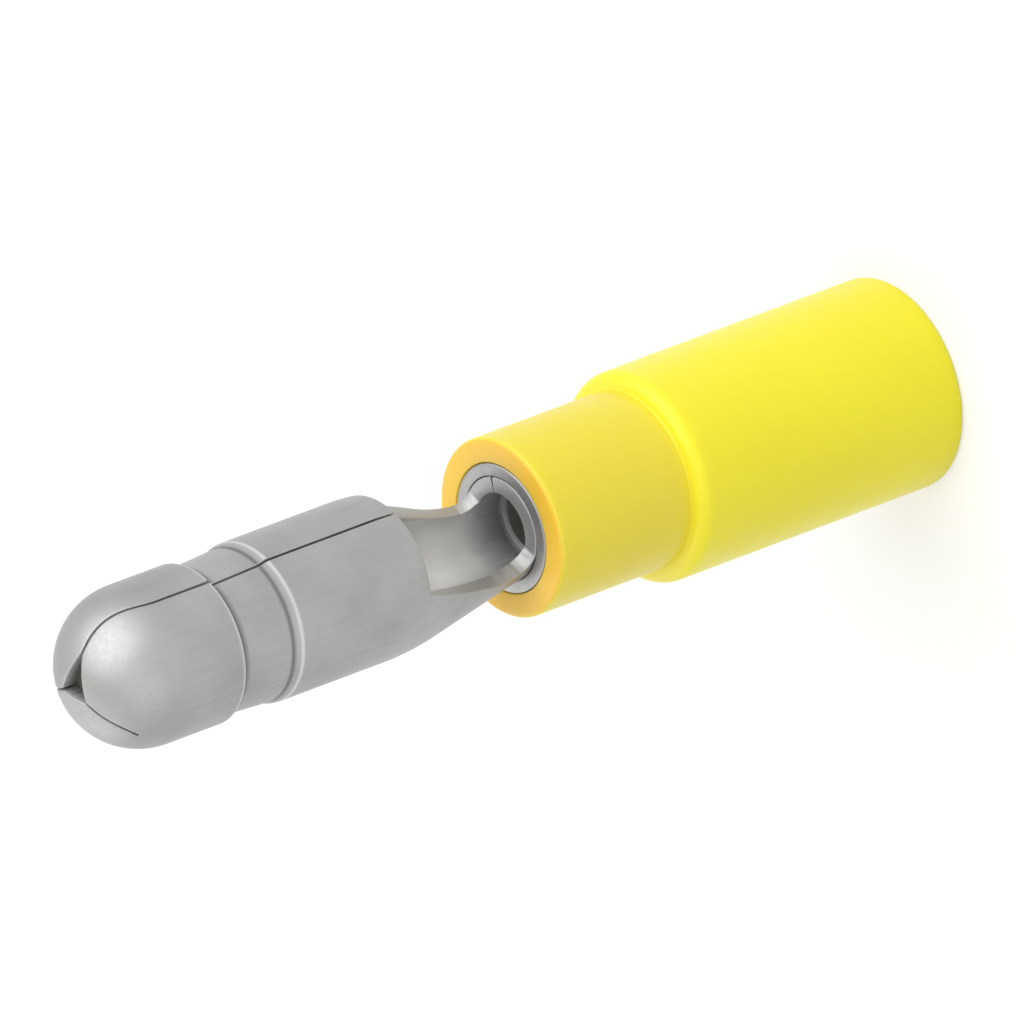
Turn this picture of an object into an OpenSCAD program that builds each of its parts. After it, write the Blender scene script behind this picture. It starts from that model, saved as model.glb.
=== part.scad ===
// Insulated male bullet terminal, standing on its wire end. Sizes are in millimetres.
//
// The terminal is one strip of tinned sheet, stamped and rolled: a crimp barrel, an
// open neck, and a bullet with a detent groove and a domed nose. A metal support
// sleeve fits over the barrel, and a moulded insulating sleeve over both, with a wide
// lower part that takes the wire's insulation.
//
// The axis of all three pieces is Z. Heights are counted from the sleeve's wire end,
// where the origin lies, up to the bullet's tip. The neck's opening and the bullet's
// seam face the front, -Y.

/* [Sheet] */
// Thickness of the sheet that the terminal is rolled from
sheet_t = 0.5; // [0.3:0.05:0.6]
// Width of the butt seams and of the slits in the nose
seam_gap = 0.08; // [0.04:0.01:0.15]

/* [Bullet] */
// Outside diameter of the bullet
bullet_d = 5; // [4.4:0.1:6]
// Length of the bullet, from its square lower edge to its tip
bullet_len = 11.8; // [10.5:0.1:15]
// Length of the plain band between the lower edge and the groove
band_len = 5; // [3:0.1:6]
// Length of the detent groove, from the plain band to the nose
groove_len = 2.15; // [1:0.05:2.6]
// Depth of the groove at its upper end, under the nose
groove_top_depth = 0.2; // [0.12:0.01:0.3]
// Depth of the groove at its lower end, above the ramp
groove_low_depth = 0.1; // [0.04:0.01:0.15]
// Length of the ramp from the plain band into the groove
groove_ramp = 0.3; // [0.1:0.05:0.6]
// Length of the turned-in edge under the nose
nose_edge = 0.08; // [0.04:0.01:0.2]

/* [Nose tip] */
// Distance from the axis to the front corner of the three-cornered hole
tip_hole_front = 1.2; // [0.7:0.05:1.4]
// Distance from the axis to the two rear corners of the hole
tip_hole_rear = 0.65; // [0.4:0.05:1]
// How far down from the tip the two rear slits run
slit_len = 1.15; // [0.6:0.05:1.6]

/* [Neck] */
// Length of the open neck, from the barrel to the bullet
neck_len = 4.8; // [3.6:0.1:7]
// Distance in front of the axis at which the neck's edges meet the bullet
neck_edge_front = 1; // [0.4:0.05:1.4]
// Distance behind the axis of the deepest stretch of the neck's edges
neck_edge_back = 0.27; // [0:0.01:0.5]
// Length of that deepest, straight stretch
neck_straight = 0.7; // [0.3:0.05:1.2]
// Radius of the fillet where the edges run out to the barrel's mouth
neck_fillet = 0.6; // [0.3:0.05:0.9]
// Radius of the bend between the straight and the sloping stretch
neck_bend = 3; // [1:0.1:6]

/* [Barrel] */
// Diameter of the barrel's bore, which takes the bare wire
barrel_bore_d = 2.2; // [1.8:0.05:2.8]
// Length of the barrel
barrel_len = 5; // [4.8:0.1:8]
// Angle from the front to the barrel's butt seam, towards +X
barrel_seam_turn = 35; // [0:1:60]
// Depth of the countersink at the barrel's wire end
barrel_countersink = 0.15; // [0.05:0.01:0.25]
// Number of serration grooves in the bore
serration_count = 3; // [1:1:3]
// Distance from the barrel's mouth to the middle of the first groove
serration_start = 1; // [0.4:0.05:1.2]
// Distance between the grooves
serration_pitch = 1.4; // [0.8:0.05:1.5]
// Width of a groove
serration_w = 0.36; // [0.2:0.02:0.6]
// Depth of a groove
serration_depth = 0.15; // [0.05:0.01:0.2]

/* [Support sleeve] */
// Wall of the support sleeve
support_wall = 0.4; // [0.25:0.05:0.6]
// Chamfer on the support sleeve's outer edges
support_chamfer = 0.06; // [0.02:0.01:0.12]

/* [Insulating sleeve] */
// Wall of the narrow upper part, over the metal
upper_wall = 0.76; // [0.4:0.02:0.9]
// Wall of the wide lower part
lower_wall = 0.75; // [0.5:0.05:1.2]
// Diameter of the wire entry, which takes the wire's insulation
entry_d = 5.1; // [4.8:0.1:7]
// Length of the wide lower part
lower_len = 10.3; // [6:0.1:16]
// Distance from the shoulder up to the metal's wire end
shoulder_gap = 0.1; // [0.05:0.05:1]
// Radius of the shoulder between the two parts
shoulder_r = 0.5; // [0.1:0.05:0.8]
// Length of the straight throat under the barrel
throat_len = 0.4; // [0.2:0.05:1]
// Length of the funnel that leads the strands into the throat
funnel_len = 2; // [1:0.1:4]
// Rounding of the sleeve's outer end edges
end_round = 0.15; // [0.05:0.01:0.3]
// Rounding of the mouth of the wire entry
mouth_round = 0.2; // [0.05:0.01:0.3]

/* [Fits] */
// Clearance all round between the barrel, the support sleeve and their seat
fit_gap = 0.02; // [0.01:0.01:0.05]

/* [Hidden] */
$fn = 96;
past = 0.1; // how far a cutting tool reaches past the surface it cuts
petal_angle = 360 / 3; // the nose closes in three petals

bullet_r = bullet_d / 2;
barrel_bore_r = barrel_bore_d / 2;
barrel_r = barrel_bore_r + sheet_t;
support_bore_r = barrel_r + fit_gap;
support_r = support_bore_r + support_wall;
seat_r = support_r + fit_gap;
upper_r = seat_r + upper_wall;
entry_r = entry_d / 2;
lower_r = entry_r + lower_wall;

barrel_foot = lower_len + shoulder_gap;
seat_floor = barrel_foot - fit_gap;
throat_foot = seat_floor - throat_len;
funnel_foot = throat_foot - funnel_len;
mouth = barrel_foot + barrel_len; // the barrel's mouth and both sleeves' upper faces
bullet_foot = mouth + neck_len;
groove_foot = bullet_foot + band_len;
nose_foot = groove_foot + groove_len;
tip = bullet_foot + bullet_len;
dome_centre = tip - bullet_r;

tin_grey = [0.69, 0.69, 0.69];
sleeve_yellow = [1, 0.93, 0.22];

// What a rounded corner loses: its arc is centred here, and the corner lies
// right and up of the centre before it is turned
module corner_waste(r, turn) {
    rotate(turn) difference() {
        square(r + past);
        circle(r);
    }
}

// ---------------------------------------------------------------- terminal

// Half section of the terminal as a filled outline, as [radius, height], set in
// from the outside by inset: 0 gives the outside, one sheet thickness the inside.
// It reaches past the barrel's foot by reach
module skin(inset, reach = 0) {
    r = bullet_r - inset;
    difference() {
        polygon([
            [0, barrel_foot - reach],
            [barrel_r - inset, barrel_foot - reach],
            [barrel_r - inset, mouth],
            [r, bullet_foot],
            [r, groove_foot],
            [r - groove_low_depth, groove_foot + groove_ramp],
            [r - groove_top_depth, nose_foot],
            [r, nose_foot + nose_edge],
            [r, dome_centre + r],
            [0, dome_centre + r]
        ]);
        translate([0, dome_centre]) corner_waste(r, 0);
    }
}

// Grooves round the barrel's bore that bite into the crimped strands
module serrations() {
    for (i = [0 : serration_count - 1])
        translate([0, mouth - serration_start - i * serration_pitch - serration_w / 2])
            square([barrel_bore_r + serration_depth, serration_w]);
}

// Countersink that lets the strands into the barrel's wire end
module countersink() {
    polygon([
        [0, barrel_foot - past],
        [barrel_bore_r + barrel_countersink + past, barrel_foot - past],
        [barrel_bore_r, barrel_foot + barrel_countersink],
        [0, barrel_foot + barrel_countersink]
    ]);
}

// Rolled wall of the whole terminal, before its openings are cut
module rolled_wall() {
    rotate_extrude() difference() {
        skin(0);
        skin(sheet_t, past);
        serrations();
        countersink();
    }
}

// Side view, as [y, height], of the opening in front of the neck: square at the
// bullet, then sloping back to a straight stretch, and filleted to the mouth
module neck_opening_side() {
    front = -(bullet_r + barrel_r);
    corner = mouth + neck_fillet + neck_straight;
    slope = atan2(neck_edge_back + neck_edge_front, bullet_foot - corner);
    // the bend ends on the straight stretch
    tangent = min(neck_bend * tan(slope / 2), neck_straight);
    bend_r = tangent / tan(slope / 2);
    difference() {
        polygon([
            [front, mouth], [neck_edge_back, mouth], [neck_edge_back, corner],
            [-neck_edge_front, bullet_foot], [front, bullet_foot]
        ]);
        translate([neck_edge_back - neck_fillet, mouth + neck_fillet])
            corner_waste(neck_fillet, -90);
        difference() {
            polygon([
                [neck_edge_back, corner - tangent],
                [neck_edge_back + past, corner],
                [neck_edge_back - tangent * sin(slope), corner + tangent * cos(slope)]
            ]);
            translate([neck_edge_back - bend_r, corner - tangent]) circle(bend_r);
        }
    }
}

module neck_opening() {
    width = 4 * max(bullet_r, barrel_r);
    rotate([90, 0, 90]) linear_extrude(height = width, center = true) neck_opening_side();
}

// Slot through the wall between two heights, turned from the front towards +X
module wall_slot(low, high, turn) {
    reach = bullet_r + barrel_r;
    rotate(turn)
        translate([-seam_gap / 2, -reach, low])
            cube([seam_gap, reach, high - low]);
}

// Three-cornered hole that the petals leave at the tip
module tip_hole() {
    translate([0, 0, tip - bullet_r])
        linear_extrude(height = bullet_r + past)
            polygon([
                [0, -tip_hole_front],
                tip_hole_rear * [sin(petal_angle), -cos(petal_angle)],
                tip_hole_rear * [-sin(petal_angle), -cos(petal_angle)]
            ]);
}

module bullet_terminal() {
    color(tin_grey) difference() {
        rolled_wall();
        neck_opening();
        tip_hole();
        wall_slot(bullet_foot - past, tip + past, 0);
        for (side = [-1, 1]) wall_slot(tip - slit_len, tip + past, side * petal_angle);
        wall_slot(barrel_foot - past, mouth, barrel_seam_turn);
    }
}

// ---------------------------------------------------------- support sleeve

// Plain tube over the barrel, as long as the barrel and flush with its mouth
module support_sleeve() {
    color(tin_grey) rotate_extrude() difference() {
        translate([support_bore_r, barrel_foot]) square([support_wall, barrel_len]);
        for (end = [barrel_foot, mouth])
            translate([support_r, end]) rotate(45)
                square(support_chamfer * sqrt(2), center = true);
    }
}

// ------------------------------------------------------- insulating sleeve

// Outside of the sleeve: a wide lower part, a rounded shoulder and a narrow upper
module sleeve_outline() {
    step = lower_r - upper_r;
    round_r = min(shoulder_r, step);
    difference() {
        polygon([
            [0, 0], [lower_r, 0], [lower_r, lower_len],
            [upper_r, lower_len], [upper_r, mouth], [0, mouth]
        ]);
        translate([lower_r - end_round, end_round]) corner_waste(end_round, -90);
        if (step > 0)
            translate([lower_r - round_r, lower_len - round_r]) corner_waste(round_r, 0);
        translate([upper_r - end_round, mouth - end_round]) corner_waste(end_round, 0);
    }
}

// Inside of the sleeve: the wire entry, a funnel, a throat as wide as the
// barrel's bore, and the metal's seat
module sleeve_hollow() {
    polygon([
        [0, -past], [entry_r, -past], [entry_r, funnel_foot],
        [barrel_bore_r, throat_foot], [barrel_bore_r, seat_floor],
        [seat_r, seat_floor], [seat_r, mouth + past], [0, mouth + past]
    ]);
    translate([entry_r, -past]) difference() {
        square([mouth_round, past + mouth_round]);
        translate([mouth_round, past + mouth_round]) circle(mouth_round);
    }
}

module insulating_sleeve() {
    color(sleeve_yellow) rotate_extrude() difference() {
        sleeve_outline();
        sleeve_hollow();
    }
}

bullet_terminal();
support_sleeve();
insulating_sleeve();
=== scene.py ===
from math import atan2, cos, radians, sin, tan

import bmesh
import bpy
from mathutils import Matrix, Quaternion, Vector
from mathutils.kdtree import KDTree


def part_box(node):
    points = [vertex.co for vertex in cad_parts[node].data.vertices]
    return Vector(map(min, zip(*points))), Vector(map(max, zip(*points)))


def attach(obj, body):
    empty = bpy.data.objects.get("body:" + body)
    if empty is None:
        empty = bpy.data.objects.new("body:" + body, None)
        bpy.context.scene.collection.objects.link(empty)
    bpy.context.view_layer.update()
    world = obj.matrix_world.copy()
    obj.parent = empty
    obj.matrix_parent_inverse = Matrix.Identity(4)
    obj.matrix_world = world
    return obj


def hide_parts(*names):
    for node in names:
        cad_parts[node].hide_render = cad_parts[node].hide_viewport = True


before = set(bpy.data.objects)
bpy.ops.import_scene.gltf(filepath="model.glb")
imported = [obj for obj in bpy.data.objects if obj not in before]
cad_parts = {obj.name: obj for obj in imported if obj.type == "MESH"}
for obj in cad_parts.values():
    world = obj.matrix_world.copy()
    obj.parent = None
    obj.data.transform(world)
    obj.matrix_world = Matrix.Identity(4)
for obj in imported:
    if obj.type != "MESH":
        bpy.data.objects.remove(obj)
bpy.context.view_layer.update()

# ------------------------------------------------------------ insulating sleeve
# One tube of moulded yellow plastic: a wide lower part that takes the wire's
# insulation, a rounded shoulder, and a narrow upper part pressed over the metal.
# The wall is a little translucent. Its yellow is darker from the shoulder up, and
# painted orange shade covers its end face.

MM = 0.001  # meshes are drawn in millimetres and scaled to metres once
ROUND_STEPS = 144  # segments round a turned surface

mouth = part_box("insulating_sleeve")[1].z / MM
lower_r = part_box("insulating_sleeve")[1].x / MM
upper_r = 2.8
entry_r = 2.55
throat_r = 1.1
seat_r = 2.04
shoulder_z = 10.3
seat_floor = 10.38
throat_foot = 9.98
funnel_foot = 7.98


def drawn_line(corners, closed=False):
    """A line through corners of [radius, height], in a mesh of its own."""
    mesh = bmesh.new()
    points = [mesh.verts.new((r, 0, z)) for r, z in corners]
    for start, end in zip(points, points[1:]):
        mesh.edges.new((start, end))
    if closed:
        mesh.edges.new((points[-1], points[0]))
    return mesh, points


def round_corners(mesh, points, reach, segments):
    """Rounds corners of a line. Each arc starts at the given reach from its corner."""
    bmesh.ops.bevel(mesh, geom=points, offset=reach, offset_type="OFFSET",
                    affect="VERTICES", segments=segments, profile=0.5, material=-1)


def point_numbers(part):
    """The numbers of an edge's or a face's points, lowest first."""
    return sorted(vert.index for vert in part.verts)


def put_in_order(mesh):
    """Rounds a mesh's points and sorts it by them, so that each run makes the same one."""
    for vert in mesh.verts:
        vert.co = [round(c, 5) for c in vert.co]
    for parts, key in ((mesh.verts, lambda vert: vert.co[:]), (mesh.edges, point_numbers),
                       (mesh.faces, point_numbers)):
        for number, part in enumerate(sorted(parts, key=key)):
            part.index = number
        parts.sort()


def turn_round(mesh):
    """Turns a line once round the axis."""
    bmesh.ops.spin(mesh, geom=mesh.verts[:] + mesh.edges[:], cent=(0, 0, 0),
                   axis=(0, 0, 1), angle=radians(360), steps=ROUND_STEPS, use_merge=True)
    bmesh.ops.remove_doubles(mesh, verts=mesh.verts, dist=1e-4)
    bmesh.ops.recalc_face_normals(mesh, faces=mesh.faces)
    put_in_order(mesh)


def finished_piece(name, mesh, finishes):
    """Scales a mesh to metres, gives it its finishes and puts it in the scene."""
    put_in_order(mesh)
    bmesh.ops.scale(mesh, vec=(MM, MM, MM), verts=mesh.verts)
    data = bpy.data.meshes.new(name)
    mesh.to_mesh(data)
    mesh.free()
    for finish in finishes:
        data.materials.append(finish)
    data.shade_smooth()
    data.set_sharp_from_angle(angle=radians(50))
    piece = bpy.data.objects.new(name, data)
    bpy.context.collection.objects.link(piece)
    even = piece.modifiers.new("even shading", "WEIGHTED_NORMAL")
    even.keep_sharp = True
    return piece


def new_finish(name):
    """An empty material: itself, its node tree and its surface shader."""
    material = bpy.data.materials.new(name)
    material.use_nodes = True
    return material, material.node_tree, material.node_tree.nodes["Principled BSDF"]


def add_node(tree, kind, settings=None, **inputs):
    """Adds a node, sets its own settings, and fills or links its inputs by name."""
    node = tree.nodes.new(kind)
    for key, value in (settings or {}).items():
        setattr(node, key, value)
    for key, value in inputs.items():
        socket = node.inputs[key.replace("_", " ")]
        if isinstance(value, bpy.types.NodeSocket):
            tree.links.new(value, socket)
        else:
            socket.default_value = value
    return node


def spread(tree, source, low, high, to_low, to_high):
    """Maps a value from one range to another, held at both ends."""
    node = add_node(tree, "ShaderNodeMapRange", Value=source, From_Min=low, From_Max=high,
                    To_Min=to_low, To_Max=to_high)
    return node.outputs[0]


def noise(tree, place, scale, detail=3.0):
    """A cloudy value from 0 to 1, with about as many spots to the metre as its scale."""
    node = add_node(tree, "ShaderNodeTexNoise", Vector=place, Scale=scale, Detail=detail)
    return node.outputs["Fac"]


def blend(tree, share, first, second):
    """Goes from the first colour to the second as the share goes from 0 to 1."""
    node = add_node(tree, "ShaderNodeMix", {"data_type": "RGBA"})
    for socket, value in ((node.inputs[0], share), (node.inputs[6], first),
                          (node.inputs[7], second)):
        if isinstance(value, bpy.types.NodeSocket):
            tree.links.new(value, socket)
        else:
            socket.default_value = value
    return node.outputs[2]


def plastic_finish():
    """Soft glossy plastic: clear yellow, darker from the shoulder up, and painted orange
    shade on its end face.
    """
    clear = (0.98, 0.86, 0.02, 1)
    # A darker yellow from the shoulder up.
    upper_yellow = (0.88, 0.74, 0.045, 1)
    # Painted orange shade for the end face.
    end_face_painted_shade = (0.93, 0.57, 0.05, 1)
    clouded = (0.70, 0.50, 0.03, 1)
    darker_starts, darker_full = 10.1 * MM, 10.6 * MM
    face_starts, face_full = (mouth - 0.07) * MM, (mouth - 0.02) * MM

    material, tree, shader = new_finish("yellow_sleeve_plastic")
    place = add_node(tree, "ShaderNodeTexCoord").outputs["Object"]
    height = add_node(tree, "ShaderNodeSeparateXYZ", Vector=place).outputs["Z"]
    # Masks for the darker yellow from the shoulder up, and for the painted orange shade on
    # the end face.
    upper_share = spread(tree, height, darker_starts, darker_full, 0, 1)
    face = spread(tree, height, face_starts, face_full, 0, 1)
    colour = blend(tree, face, blend(tree, upper_share, clear, upper_yellow), end_face_painted_shade)
    cloud = spread(tree, noise(tree, place, scale=260), 0.3, 0.7, 0, 0.12)
    tree.links.new(blend(tree, cloud, colour, clouded), shader.inputs["Base Color"])
    grain = noise(tree, place, scale=2600, detail=4)
    tree.links.new(spread(tree, grain, 0.3, 0.7, 0.30, 0.42), shader.inputs["Roughness"])
    bump = add_node(tree, "ShaderNodeBump", Strength=0.25, Distance=0.02 * MM, Height=grain)
    tree.links.new(bump.outputs[0], shader.inputs["Normal"])
    shader.inputs["IOR"].default_value = 1.48
    shader.inputs["Subsurface Weight"].default_value = 0.35
    shader.inputs["Subsurface Radius"].default_value = (1.0, 0.8, 0.1)
    shader.inputs["Subsurface Scale"].default_value = 0.6 * MM
    return material


sleeve, corners = drawn_line([
    (entry_r, 0), (lower_r, 0), (lower_r, shoulder_z), (upper_r, shoulder_z),
    (upper_r, mouth), (seat_r, mouth), (seat_r, seat_floor),
    (throat_r, seat_floor), (throat_r, throat_foot), (entry_r, funnel_foot),
], closed=True)
entry, foot, shoulder, step, front, seat_mouth, _, _, throat, funnel = corners
round_corners(sleeve, [entry], reach=0.2, segments=5)
round_corners(sleeve, [foot, front], reach=0.15, segments=5)
round_corners(sleeve, [shoulder], reach=0.42, segments=8)
round_corners(sleeve, [step], reach=0.07, segments=4)
round_corners(sleeve, [seat_mouth, throat], reach=0.05, segments=3)
round_corners(sleeve, [funnel], reach=0.3, segments=5)
turn_round(sleeve)

sleeve_moulding = finished_piece("sleeve_moulding", sleeve, [plastic_finish()])
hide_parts("insulating_sleeve")
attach(sleeve_moulding, "root")

# --------------------------------------------------------------- support sleeve
# A plain length of tinned brass tube, parted off and tumbled, so its end edges
# are slightly rounded. It is pressed over the barrel and backs up its seam.

barrel_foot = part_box("support_sleeve")[0].z / MM
tube_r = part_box("support_sleeve")[1].x / MM
tube_bore_r = 1.62


def near_height(tree, height, level, reach):
    """1 at a level in millimetres, falling to 0 at the reach above and below it."""
    gap = add_node(tree, "ShaderNodeMath", {"operation": "SUBTRACT"})
    tree.links.new(height, gap.inputs[0])
    gap.inputs[1].default_value = level * MM
    size = add_node(tree, "ShaderNodeMath", {"operation": "ABSOLUTE"})
    tree.links.new(gap.outputs[0], size.inputs[0])
    return spread(tree, size.outputs[0], 0, reach * MM, 1, 0)


def tin_finish(name, light, dark, smooth, rough, painted_shade_heights=(), wear_and_highlight_heights=()):
    """Tin plate: a cloudy grey metal with fine marks drawn along the axis. It has painted
    shade near some heights, in the corners of the shape, and near others bright bands
    that are partly wear and partly painted highlight."""
    # Painted shade for the corners, and a brighter tin for bands that are partly wear and
    # partly painted highlight.
    painted_shade_tin = (0.16, 0.16, 0.155, 1)
    wear_and_highlight_tin = (0.62, 0.62, 0.61, 1)

    material, tree, shader = new_finish(name)
    place = add_node(tree, "ShaderNodeTexCoord").outputs["Object"]
    height = add_node(tree, "ShaderNodeSeparateXYZ", Vector=place).outputs["Z"]
    cloud = spread(tree, noise(tree, place, scale=420, detail=4), 0.35, 0.65, 0, 1)
    along = add_node(tree, "ShaderNodeMapping", Vector=place, Scale=(1, 1, 0.04))
    marks = noise(tree, along.outputs[0], scale=9000, detail=3)
    colour = blend(tree, cloud, light, dark)
    for spots, tin in ((painted_shade_heights, painted_shade_tin), (wear_and_highlight_heights, wear_and_highlight_tin)):
        for level, reach in spots:
            colour = blend(tree, near_height(tree, height, level, reach), colour, tin)
    tree.links.new(colour, shader.inputs["Base Color"])
    tree.links.new(spread(tree, marks, 0.2, 0.8, smooth, rough), shader.inputs["Roughness"])
    bump = add_node(tree, "ShaderNodeBump", Strength=0.3, Distance=0.004 * MM, Height=marks)
    tree.links.new(bump.outputs[0], shader.inputs["Normal"])
    shader.inputs["Metallic"].default_value = 1
    return material


tube, corners = drawn_line([
    (tube_bore_r, barrel_foot), (tube_r, barrel_foot), (tube_r, mouth),
    (tube_bore_r, mouth),
], closed=True)
round_corners(tube, corners[1:3], reach=0.06, segments=3)
round_corners(tube, [corners[0], corners[3]], reach=0.04, segments=3)
turn_round(tube)

tube_tin = tin_finish("tube_tin", light=(0.40, 0.40, 0.395, 1),
                      dark=(0.345, 0.345, 0.34, 1), smooth=0.42, rough=0.58)
support_tube = finished_piece("support_tube", tube, [tube_tin])
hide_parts("support_sleeve")
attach(support_tube, "root")

# -------------------------------------------------------------- bullet terminal
# One strip of brass sheet, stamped, rolled up and tin plated: a crimp barrel, an open
# neck, and a bullet that has a detent groove and closes in three petals with a slight
# twist. The corners of its cut edges are rounded off, and painted light makes its inside
# brighter.

bullet_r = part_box("bullet_terminal")[1].x / MM
bullet_foot = 20.2
sheet = 0.5
seam_gap = 0.08
edge_round = 0.03

barrel_bore_r = 1.1
barrel_r = barrel_bore_r + sheet
barrel_seam_turn = radians(35)
countersink = 0.15
serration_w = 0.36
serration_floor_w = 0.26
serration_depth = 0.15
serration_start, serration_pitch, serration_count = 1, 1.4, 3
serration_middles = [mouth - serration_start - serration_pitch * number
                     for number in range(serration_count)]

neck_back = 0.27  # the opening's edges lie this far behind the axis near the barrel
neck_front = 1  # and this far in front of it at the bullet
neck_deep = 1.3  # length of their lower stretch, behind the axis
neck_fillet = 0.6
neck_bend = 3

groove_foot = 25.2
groove_ramp = 0.3
groove_low_depth = 0.1
groove_top_depth = 0.2
nose_foot = 27.35
nose_edge = 0.08
tip = 32.0
dome_foot = tip - bullet_r
tip_hole = [Vector((0, -1.2, 0)), Vector((0.563, 0.325, 0)), Vector((-0.563, 0.325, 0))]
slit_foot = tip - 1.15
petal_turn = radians(120)
petal_twist = radians(14)
twist_top = tip - 0.5


def cut_away(mesh, planes):
    """Cuts out the faces inside all the planes, each a point and an outward normal. The
    cut is wider by the edges' rounding, which is filled up again when it is made."""
    inside = mesh.faces[:]
    for point, normal in planes:
        point, normal = Vector(point), Vector(normal).normalized()
        point = point + normal * edge_round
        parts = dict.fromkeys(part for face in inside
                              for part in (face, *face.edges, *face.verts))
        cut = bmesh.ops.bisect_plane(mesh, geom=list(parts), dist=1e-4,
                                     plane_co=point, plane_no=normal)
        inside = [part for part in cut["geom"] if isinstance(part, bmesh.types.BMFace)
                  and (part.calc_center_median() - point).dot(normal) < 0]
    bmesh.ops.delete(mesh, geom=inside, context="FACES")
    put_in_order(mesh)


def slot_planes(low, high, turn):
    """A slot between two heights, turned from the front towards +X."""
    side = Vector((cos(turn), sin(turn), 0))
    half = side * seam_gap / 2
    return [((0, 0, low), (0, 0, -1)), ((0, 0, high), (0, 0, 1)),
            ((0, 0, 0), (-sin(turn), cos(turn), 0)), (half, side), (-half, -side)]


def tip_planes():
    """The three-cornered hole between the petals, down to the foot of the dome."""
    planes = [((0, 0, dome_foot), (0, 0, -1))]
    for start, end in zip(tip_hole, tip_hole[1:] + tip_hole[:1]):
        along = (end - start).normalized()
        planes.append((start, (along.y, -along.x, 0)))
    return planes


def neck_planes():
    """The opening in front of the neck, from the barrel's mouth to the bullet. It is
    drawn from the side, with the line's radius standing for Y."""
    clear_of_front = -3
    deep_top = mouth + neck_deep
    slope = atan2(neck_front + neck_back, bullet_foot - deep_top)
    mesh, corners = drawn_line([
        (clear_of_front, mouth), (neck_back, mouth), (neck_back, deep_top),
        (-neck_front, bullet_foot), (clear_of_front, bullet_foot),
    ])
    round_corners(mesh, [corners[1]], reach=neck_fillet, segments=10)
    round_corners(mesh, [corners[2]], reach=neck_bend * tan(slope / 2), segments=6)
    in_the_opening = Vector((-1, 0, mouth + 2))
    planes = []
    for edge in mesh.edges:
        start, end = (vert.co for vert in edge.verts)
        along = end - start
        outward = Vector((along.z, 0, -along.x)).normalized()
        if outward.dot(start - in_the_opening) < 0:
            outward.negate()
        planes.append(((0, start.x, start.z), (0, outward.x, outward.z)))
    mesh.free()
    return planes


def round_cut_edge(mesh, across):
    """Builds a cut edge out by its rounding, with both corners rounded. Its edges across
    the sheet are given, each with the end that lies outside."""
    near, far = 0.3, 0.7  # half way round a quarter circle
    least_mitre = 0.5  # keeps the point of a sharp bend short
    mesh.normal_update()
    lines = []
    for start, edge in across:
        normals = [face.normal for face in edge.link_faces]
        out = sum(normals, Vector()).normalized()
        out *= edge_round / max(least_mitre, out.dot(normals[0]))
        lines.append((start.co.copy(), edge.other_vert(start).co - start.co, out))
    cuts = bmesh.ops.subdivide_edges(mesh, edges=[edge for _, edge in across], cuts=4,
                                     use_grid_fill=True)
    fresh = [part for part in cuts["geom_inner"] if isinstance(part, bmesh.types.BMVert)]
    finder = KDTree(len(fresh))
    for number, vert in enumerate(fresh):
        finder.insert(vert.co, number)
    finder.balance()
    for start, along, out in lines:
        down = along.normalized() * edge_round
        places = (down * near + out * far, down + out,
                  along - down + out, along - down * near + out * far)
        for number, place in enumerate(places, start=1):
            fresh[finder.find(start + along * number / 5)[1]].co = start + place


serration_edges = [middle + step for middle in reversed(serration_middles)
                   for step in (-serration_w / 2, -serration_floor_w / 2,
                                serration_floor_w / 2, serration_w / 2)]
barrel_rings = [barrel_foot + edge_round, barrel_foot + countersink, *serration_edges,
                mouth]
terminal, corners = drawn_line([(barrel_r, height) for height in barrel_rings] + [
    (bullet_r, bullet_foot), (bullet_r, groove_foot),
    (bullet_r - groove_low_depth, groove_foot + groove_ramp),
    (bullet_r - groove_top_depth, nose_foot), (bullet_r, nose_foot + nose_edge),
    (bullet_r, tip), (0, tip),
])
bullet_edge, ramp_foot, ramp_top, groove_end, nose_start, dome = corners[-7:-1]
round_corners(terminal, [bullet_edge], reach=0.8, segments=5)
round_corners(terminal, [ramp_foot, ramp_top], reach=0.07, segments=3)
round_corners(terminal, [groove_end, nose_start], reach=0.035, segments=2)
round_corners(terminal, [dome], reach=bullet_r, segments=28)
turn_round(terminal)

past_end = 0.5  # slots run this far past an open end
cut_away(terminal, tip_planes())
cut_away(terminal, neck_planes())
cut_away(terminal, slot_planes(bullet_foot - past_end, tip + past_end, 0))
cut_away(terminal, slot_planes(slit_foot, tip + past_end, petal_turn))
cut_away(terminal, slot_planes(slit_foot, tip + past_end, -petal_turn))
cut_away(terminal, slot_planes(barrel_foot - past_end, mouth + past_end, barrel_seam_turn))

# Points that the cuts left too close to each other are merged.
bmesh.ops.remove_doubles(terminal, verts=terminal.verts, dist=0.004)
border = [vert for vert in terminal.verts if vert.is_boundary]
bmesh.ops.remove_doubles(terminal, verts=border, dist=0.02)
put_in_order(terminal)

# The wall gets its thickness inwards. Finish 0 is outside, 1 inside, 2 on the cut edges.
outside = set(terminal.verts)
border = [vert for vert in terminal.verts if vert.is_boundary]
bmesh.ops.solidify(terminal, geom=terminal.faces[:], thickness=sheet)
for face in terminal.faces:
    shared = sum(vert in outside for vert in face.verts)
    if shared < len(face.verts):
        face.material_index = 2 if shared else 1
round_cut_edge(terminal, [(vert, edge) for vert in border for edge in vert.link_edges
                          if edge.other_vert(vert) not in outside])

# The serrations are pressed into the barrel's bore, and its wire end is countersunk.
on_the_bore = barrel_bore_r + 0.05
on_a_floor = serration_floor_w / 2 + 0.02
on_the_rim = barrel_foot + 0.1
for vert in terminal.verts:
    if vert.co.xy.length < on_the_bore and vert.co.z < mouth:
        if any(abs(vert.co.z - middle) < on_a_floor for middle in serration_middles):
            vert.co.xy *= (barrel_bore_r + serration_depth) / barrel_bore_r
        if vert.co.z < on_the_rim:
            vert.co.xy *= (barrel_bore_r + countersink) / barrel_bore_r

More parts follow.
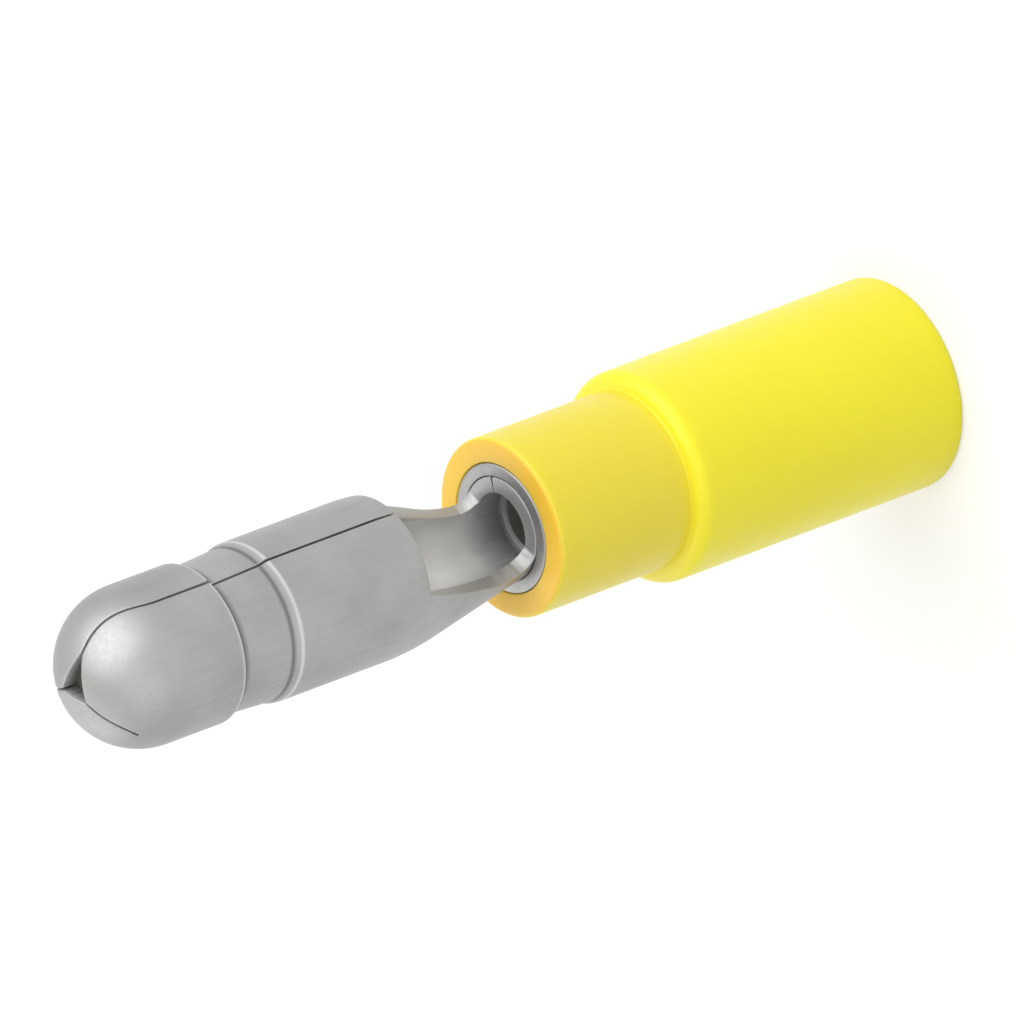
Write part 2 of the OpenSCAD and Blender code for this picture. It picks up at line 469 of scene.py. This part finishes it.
# The petals turn little by little from the foot of the dome.
for vert in terminal.verts:
    share = min(max((vert.co.z - dome_foot) / (twist_top - dome_foot), 0), 1)
    vert.co.rotate(Quaternion((0, 0, 1), petal_twist * share ** 2 * (3 - 2 * share)))

# Painted shade darkens the groove's two corners. The bright bands at the nose's edge and
# the groove's foot are partly wear and partly painted highlight.
outside_tin = tin_finish("sheet_tin", light=(0.405, 0.405, 0.40, 1),
                         dark=(0.345, 0.345, 0.34, 1), smooth=0.40, rough=0.58,
                         painted_shade_heights=[(nose_foot - 0.07, 0.2), (groove_foot + groove_ramp, 0.12)],
                         wear_and_highlight_heights=[(nose_foot + 0.1, 0.08), (groove_foot, 0.1)])
# Painted light: the inside is a brighter tin than the outside, which lifts the shade in the
# hollow neck and barrel.
inside_tin_painted_light = tin_finish("inside_tin_painted_light", light=(0.60, 0.60, 0.59, 1),
                        dark=(0.52, 0.52, 0.51, 1), smooth=0.45, rough=0.62)
cut_edge_tin = tin_finish("cut_edge_tin", light=(0.46, 0.46, 0.455, 1),
                          dark=(0.40, 0.40, 0.395, 1), smooth=0.5, rough=0.62)
rolled_terminal = finished_piece("rolled_terminal", terminal,
                                 [outside_tin, inside_tin_painted_light, cut_edge_tin])
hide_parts("bullet_terminal")
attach(rolled_terminal, "root")

# ------------------------------------------------------------------------ floor
# A plain white table top under the part. It takes the part's soft shadow, and a
# little glow makes it look white to the camera and in the metal.

table_glow = 0.42

plane = bmesh.new()
bmesh.ops.create_grid(plane, x_segments=1, y_segments=1, size=3)
floor_mesh = bpy.data.meshes.new("table_top")
plane.to_mesh(floor_mesh)
plane.free()
floor = bpy.data.objects.new("table_top", floor_mesh)
bpy.context.collection.objects.link(floor)

material, tree, shader = new_finish("white_table")
shader.inputs["Base Color"].default_value = (0.6, 0.6, 0.6, 1)
shader.inputs["Roughness"].default_value = 0.9
light_path = add_node(tree, "ShaderNodeLightPath")


def seen(tree, light_path):
    """1 for a ray from the camera, a mirror or a glass, and 0 for soft light."""
    first = add_node(tree, "ShaderNodeMath", {"operation": "MAXIMUM"})
    tree.links.new(light_path.outputs["Is Camera Ray"], first.inputs[0])
    tree.links.new(light_path.outputs["Is Glossy Ray"], first.inputs[1])
    second = add_node(tree, "ShaderNodeMath", {"operation": "MAXIMUM"})
    tree.links.new(first.outputs[0], second.inputs[0])
    tree.links.new(light_path.outputs["Is Transmission Ray"], second.inputs[1])
    return second.outputs[0]


shader.inputs["Emission Color"].default_value = (1, 1, 1, 1)
tree.links.new(spread(tree, seen(tree, light_path), 0, 1, 0, table_glow),
               shader.inputs["Emission Strength"])
floor_mesh.materials.append(material)

# ---------------------------------------------------------------------- lights
# A soft white sky all round, one large soft lamp over the front of the part, and two
# weaker ones, from the left and from behind.

sky_light = 0.55  # the sky's soft light, while it looks white to the camera

world = bpy.data.worlds.new("studio")
bpy.context.scene.world = world
world.use_nodes = True
tree = world.node_tree
background = tree.nodes["Background"]
background.inputs["Color"].default_value = (1, 1, 1, 1)
light_path = add_node(tree, "ShaderNodeLightPath")
tree.links.new(spread(tree, seen(tree, light_path), 0, 1, sky_light, 1),
               background.inputs["Strength"])


def soft_lamp(name, place, size, watts):
    """A round lamp that faces the foot of the part."""
    lamp = bpy.data.lights.new(name, "AREA")
    lamp.shape = "DISK"
    lamp.size = size
    lamp.energy = watts
    holder = bpy.data.objects.new(name, lamp)
    bpy.context.collection.objects.link(holder)
    holder.location = place
    holder.rotation_mode = "QUATERNION"
    holder.rotation_quaternion = (-Vector(place)).to_track_quat("-Z", "Y")


soft_lamp("key", place=(0.10, -0.20, 0.22), size=0.46, watts=0.86)
soft_lamp("fill", place=(-0.22, -0.05, 0.12), size=0.3, watts=0.11)
soft_lamp("back", place=(0.05, 0.24, 0.16), size=0.36, watts=0.24)

# ---------------------------------------------------------------------- camera
# A long lens that looks down on the part, rolled so that the part lies across the
# view with the bullet's nose at the lower left.

azimuth, elevation, roll = radians(-38.5), radians(35.9), radians(-110.5)
distance = 1.2
view_width = 30.39 * MM
mouth_offset = Vector((0.335, 0.490, 0))  # from the sleeve's mouth to the view's middle
to_camera = Vector((sin(azimuth) * cos(elevation), -cos(azimuth) * cos(elevation),
                    sin(elevation)))
turn = (-to_camera).to_track_quat("-Z", "Y") @ Quaternion((0, 0, 1), roll)
off_axis = turn @ mouth_offset * MM

camera_data = bpy.data.cameras.new("camera")
camera_data.sensor_width = 36
camera_data.lens = camera_data.sensor_width * distance / view_width
camera = bpy.data.objects.new("camera", camera_data)
bpy.context.collection.objects.link(camera)
camera.location = Vector((0, 0, mouth * MM)) + off_axis + to_camera * distance
camera.rotation_mode = "QUATERNION"
camera.rotation_quaternion = turn
bpy.context.scene.camera = camera
bpy.context.scene.view_settings.view_transform = "Standard"
